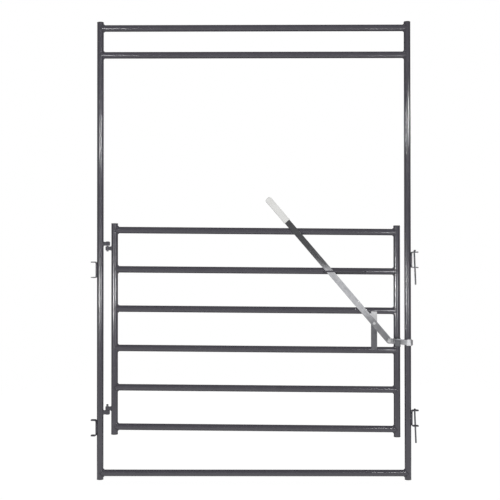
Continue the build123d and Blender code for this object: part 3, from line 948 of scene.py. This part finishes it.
def studio_floor_material():
    """Pale studio paper that the camera and glossy metal see as white, and that keeps the gate's shadow."""
    material, tree, place, surface = new_material("pale_studio_floor")
    share = add_node(
        tree, "ShaderNodeMath", {"operation": "MULTIPLY", 1: FLOOR_GLOW_SHARE}, {0: looked_at(tree)}
    )
    paper = add_node(tree, "ShaderNodeBsdfDiffuse", {"Color": finish("floor")})
    glow = add_node(tree, "ShaderNodeEmission", {"Color": WHITE, "Strength": FLOOR_GLOW})
    white = add_node(
        tree, "ShaderNodeMixShader", None,
        {0: share.outputs["Value"], 1: paper.outputs["BSDF"], 2: glow.outputs["Emission"]},
    )
    # The paper fades out towards its rim, so that no edge shows
    spread = add_node(tree, "ShaderNodeVectorMath", {"operation": "DISTANCE", 1: FLOOR_CENTRE}, {0: place})
    fade = add_node(
        tree, "ShaderNodeMapRange",
        {"interpolation_type": "SMOOTHSTEP", "From Min": FLOOR_FULL, "From Max": FLOOR_RADIUS},
        {"Value": spread.outputs["Value"]},
    )
    gone = add_node(tree, "ShaderNodeBsdfTransparent")
    floor = add_node(
        tree, "ShaderNodeMixShader", None,
        {0: fade.outputs["Result"], 1: white.outputs["Shader"], 2: gone.outputs["BSDF"]},
    )
    tree.links.new(floor.outputs["Shader"], surface)
    return material


def studio_drape_material(brightness):
    """Dim drapes that stand round the studio and that only reflections show."""
    material, tree, _, surface = new_material("dim_studio_drape")
    dim = add_node(tree, "ShaderNodeEmission", {"Color": WHITE, "Strength": brightness})
    tree.links.new(dim.outputs["Emission"], surface)
    return material


class Drape(NamedTuple):
    """A drape between two corners of its upper or lower edge, drawn out along its drop, in metres."""

    name: str
    setting: str
    start: tuple
    end: tuple
    drop: tuple


DRAPES = (
    Drape("front_drape", "drapes", (-7, -7.5, 1.174), (9, -7.5, 1.174), (0, 0, 7)),
    Drape("low_drape", "low_drape", (-7, -7.5, 0.5), (9, -7.5, 0.5), (0, 5.5, -0.496)),
    Drape("ceiling_drape", "side_drape", (-7, -7.5, 8), (4, -7.5, 8), (0, 16.5, 0)),
    Drape("left_drape", "side_drape", (-7, -7.5, 0), (-7, 9, 0), (0, 0, 8)),
    Drape("right_drape", "side_drape", (4.5, -7.5, 0), (8.8, 9, 0), (0, 0, 4.9)),
    Drape("back_drape", "back_drape", (-7, 9, 0.5), (9, 9, 0.5), (0, 0, 7.5)),
    Drape("back_low_drape", "back_drape", (-7, 9, 0.5), (9, 9, 0.5), (0, -8.7, -0.496)),
)

# Spreads of the lamps, and the size in metres of the panels for the upper posts
WIDE = math.radians(180)
NARROW = math.radians(30)
NARROWEST = math.radians(24)
SQUARE = (0.2, 0.2)


class Lamp(NamedTuple):
    """A rectangular lamp, in metres, with its brightness setting and the share of it that it takes.

    A glossy lamp shows in reflections alone, and any other gives soft light alone.
    """

    name: str
    setting: str
    place: tuple
    aim: tuple
    size: tuple
    share: float = 1
    spread: float = WIDE
    glossy: bool = True


LAMPS = (
    Lamp("front_fill", "fill", (0.9, -6.2, 2.5), (0.9, 0, 1.7), (7, 2.2), glossy=False),
    Lamp("left_panel", "left_panel", (-0.9, -1.7, 1.0), (0.6, 0, 1.0), (0.2, 0.36)),
    Lamp("left_glow", "left_glow", (-0.9, -1.72, 1.13), (0.6, 0, 1.13), (0.2, 0.86)),
    Lamp("inner_panel", "inner_panel", (1.0, -1.7, 1.03), (0.04, 0, 1.09), (0.2, 0.24), spread=NARROW),
    Lamp("inner_glow", "inner_glow", (1.0, -1.72, 1.13), (0.04, 0, 1.09), (0.2, 0.86), spread=NARROW),
    Lamp("upper_glow", "upper_glow", (1.0, -1.72, 2.3), (0.04, 0, 2.1), (0.2, 1.4), spread=NARROW),
    Lamp("hinge_post_left_panel", "post_panels", (-0.4, -1.7, 2.19), (0, 0, 1.976), SQUARE, 1.1, NARROW),
    Lamp("hinge_post_right_panel", "post_panels", (1.8, -1.7, 2.28), (0, 0, 1.976), SQUARE, 1.4, NARROW),
    Lamp("latch_post_left_panel", "post_panels", (-0.05, -1.7, 2.37), (1.79, 0, 2.034), SQUARE, 1.5, NARROW),
    Lamp("latch_post_right_panel", "post_panels", (3.09, -1.7, 2.4), (1.79, 0, 2.09), SQUARE, 2.4, NARROW),
    Lamp("stile_panel", "stile_panel", (-0.9, -1.74, 1.04), (1.75, 0, 1.06), (0.2, 0.3), spread=NARROW),
    Lamp("right_panel", "right_panel", (1.97, -1.72, 1.075), (0.9, 0, 1.0), (0.2, 0.25)),
    Lamp("far_panel", "far_panel", (2.42, -1.72, 0.95), (0.9, 0, 0.95), (0.16, 0.3)),
    Lamp("latch_panel", "latch_panel", (2.12, -1.72, 0.65), (1.79, 0, 0.8), (0.1, 0.11)),
    Lamp("left_connector_panel", "connector_panel", (-0.31, -1.7, 1.2), (-0.31, 0, 1.2), (0.06, 0.08)),
    Lamp("right_connector_panel", "connector_panel", (2.093, -1.7, 1.276), (2.093, 0, 1.276), (0.06, 0.08)),
    Lamp("back_fill", "back_fill", (0.9, 6, 2.2), (0.9, 0, 1.3), (5, 2.6), glossy=False),
    Lamp("header_panel", "header_panel", (-0.218, -1.7, 2.16), (0.08, 0, 2.55), (0.19, 0.42), 1, NARROWEST),
)
SENSOR_WIDTH = 36


class STOCKGATE_OT_studio(StockGateOperator, bpy.types.Operator):
    """Set up the pale floor, the white room with its dim drapes, the lamps and the camera"""

    bl_idname = "stock_gate.studio"
    bl_label = "Set up studio"

    def execute(self, context):
        studio = context.scene.gate_studio
        self.lay_floor()
        self.whiten_room(studio)
        for drape in DRAPES:
            self.hang_drape(drape, getattr(studio, drape.setting))
        for lamp in LAMPS:
            self.hang_lamp(lamp, getattr(studio, lamp.setting) * lamp.share)
        self.stand_camera(studio)
        context.scene.view_settings.view_transform = "Standard"
        return {"FINISHED"}

    def lay_floor(self):
        """A wide round sheet under the gate and all round it."""
        shape = bmesh.new()
        bmesh.ops.create_circle(
            shape, cap_ends=True, segments=96, radius=FLOOR_RADIUS, matrix=Matrix.Translation(FLOOR_CENTRE)
        )
        floor = link_new("studio_floor", new_mesh("studio_floor", shape))
        floor.data.materials.append(studio_floor_material())

    def whiten_room(self, studio):
        """A room that is white to look at and gives a soft grey light."""
        world = bpy.data.worlds.new("studio_room")
        bpy.context.scene.world = world
        world.use_nodes = True
        tree = world.node_tree
        tree.nodes.clear()
        grey = (studio.room, studio.room, studio.room, 1)
        colour = add_node(
            tree, "ShaderNodeMix", {"data_type": "RGBA", MIX_FIRST: grey, MIX_SECOND: WHITE},
            {MIX_SHARE: looked_at(tree)},
        )
        room = add_node(tree, "ShaderNodeBackground", {"Strength": 1}, {"Color": colour.outputs[MIX_RESULT]})
        add_node(tree, "ShaderNodeOutputWorld", None, {"Surface": room.outputs["Background"]})

    def hang_drape(self, drape, brightness):
        """A drape that gloss mirrors, and that neither the camera nor soft light meets."""
        shape = bmesh.new()
        edge = shape.edges.new([shape.verts.new(drape.start), shape.verts.new(drape.end)])
        drawn = bmesh.ops.extrude_edge_only(shape, edges=[edge])["geom"]
        moved = [part for part in drawn if isinstance(part, bmesh.types.BMVert)]
        bmesh.ops.translate(shape, verts=moved, vec=drape.drop)
        cloth = link_new(drape.name, new_mesh(drape.name, shape))
        cloth.data.materials.append(shared(studio_drape_material, brightness))
        cloth.visible_camera = False
        cloth.visible_diffuse = False
        cloth.visible_shadow = False

    def hang_lamp(self, lamp, brightness):
        """A rectangular lamp whose face would be seen at a given white level."""
        width, height = lamp.size
        light = bpy.data.lights.new(lamp.name, "AREA")
        light.shape = "RECTANGLE"
        light.size = width
        light.size_y = height
        light.energy = brightness * math.pi * width * height
        light.spread = lamp.spread
        holder = link_new(lamp.name, light)
        holder.location = lamp.place
        holder.rotation_euler = (Vector(lamp.aim) - Vector(lamp.place)).to_track_quat("-Z", "Y").to_euler()
        holder.visible_camera = False
        holder.visible_glossy = lamp.glossy
        holder.visible_diffuse = not lamp.glossy

    def stand_camera(self, studio):
        """The camera at the photograph's place, for a square picture."""
        camera = bpy.data.cameras.new("gate_camera")
        camera.sensor_width = SENSOR_WIDTH
        camera.sensor_fit = "HORIZONTAL"
        camera.lens = studio.lens
        stand = link_new("gate_camera", camera)
        pitch, roll, yaw = studio.camera_turn
        level = Matrix.Rotation(math.pi / 2 + pitch, 4, "X")
        turned = Matrix.Rotation(yaw, 4, "Z") @ level @ Matrix.Rotation(roll, 4, "Z")
        stand.matrix_world = Matrix.Translation(studio.camera_place) @ turned
        bpy.context.scene.camera = stand


OPERATORS = (
    STOCKGATE_OT_tubes,
    STOCKGATE_OT_plugs,
    STOCKGATE_OT_tube_welds,
    STOCKGATE_OT_hinges,
    STOCKGATE_OT_connectors,
    STOCKGATE_OT_lever,
    STOCKGATE_OT_latch,
    STOCKGATE_OT_fasteners,
    STOCKGATE_OT_grip,
    STOCKGATE_OT_studio,
)
SETTINGS = {"gate_finishes": GateFinishes, "gate_detail": GateDetail, "gate_studio": GateStudio}


class STOCKGATE_PT_sidebar(bpy.types.Panel):
    """Lists the gate's settings and steps in the 3D view's sidebar"""

    bl_idname = "STOCKGATE_PT_sidebar"
    bl_label = "Stock gate"
    bl_space_type = "VIEW_3D"
    bl_region_type = "UI"
    bl_category = "Stock gate"

    def draw(self, context):
        for group, kind in SETTINGS.items():
            box = self.layout.box()
            for setting in kind.__annotations__:
                box.prop(getattr(context.scene, group), setting)
        for operator in OPERATORS:
            self.layout.operator(operator.bl_idname)


def register():
    """Registers the settings, the operators and the sidebar panel."""
    for kind in (*SETTINGS.values(), *OPERATORS, STOCKGATE_PT_sidebar):
        bpy.utils.register_class(kind)
    for group, kind in SETTINGS.items():
        setattr(bpy.types.Scene, group, PointerProperty(type=kind))


def unregister():
    """Removes what register added."""
    for group in SETTINGS:
        delattr(bpy.types.Scene, group)
    for kind in (STOCKGATE_PT_sidebar, *reversed(OPERATORS), *reversed(SETTINGS.values())):
        bpy.utils.unregister_class(kind)


def main():
    """Builds the looks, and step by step."""
    register()
    bpy.ops.stock_gate.tubes()
    bpy.ops.stock_gate.plugs()
    bpy.ops.stock_gate.tube_welds()
    bpy.ops.stock_gate.hinges()
    bpy.ops.stock_gate.connectors()
    bpy.ops.stock_gate.lever()
    bpy.ops.stock_gate.latch()
    bpy.ops.stock_gate.fasteners()
    bpy.ops.stock_gate.grip()
    bpy.ops.stock_gate.studio()


if __name__ == "__main__":
    main()
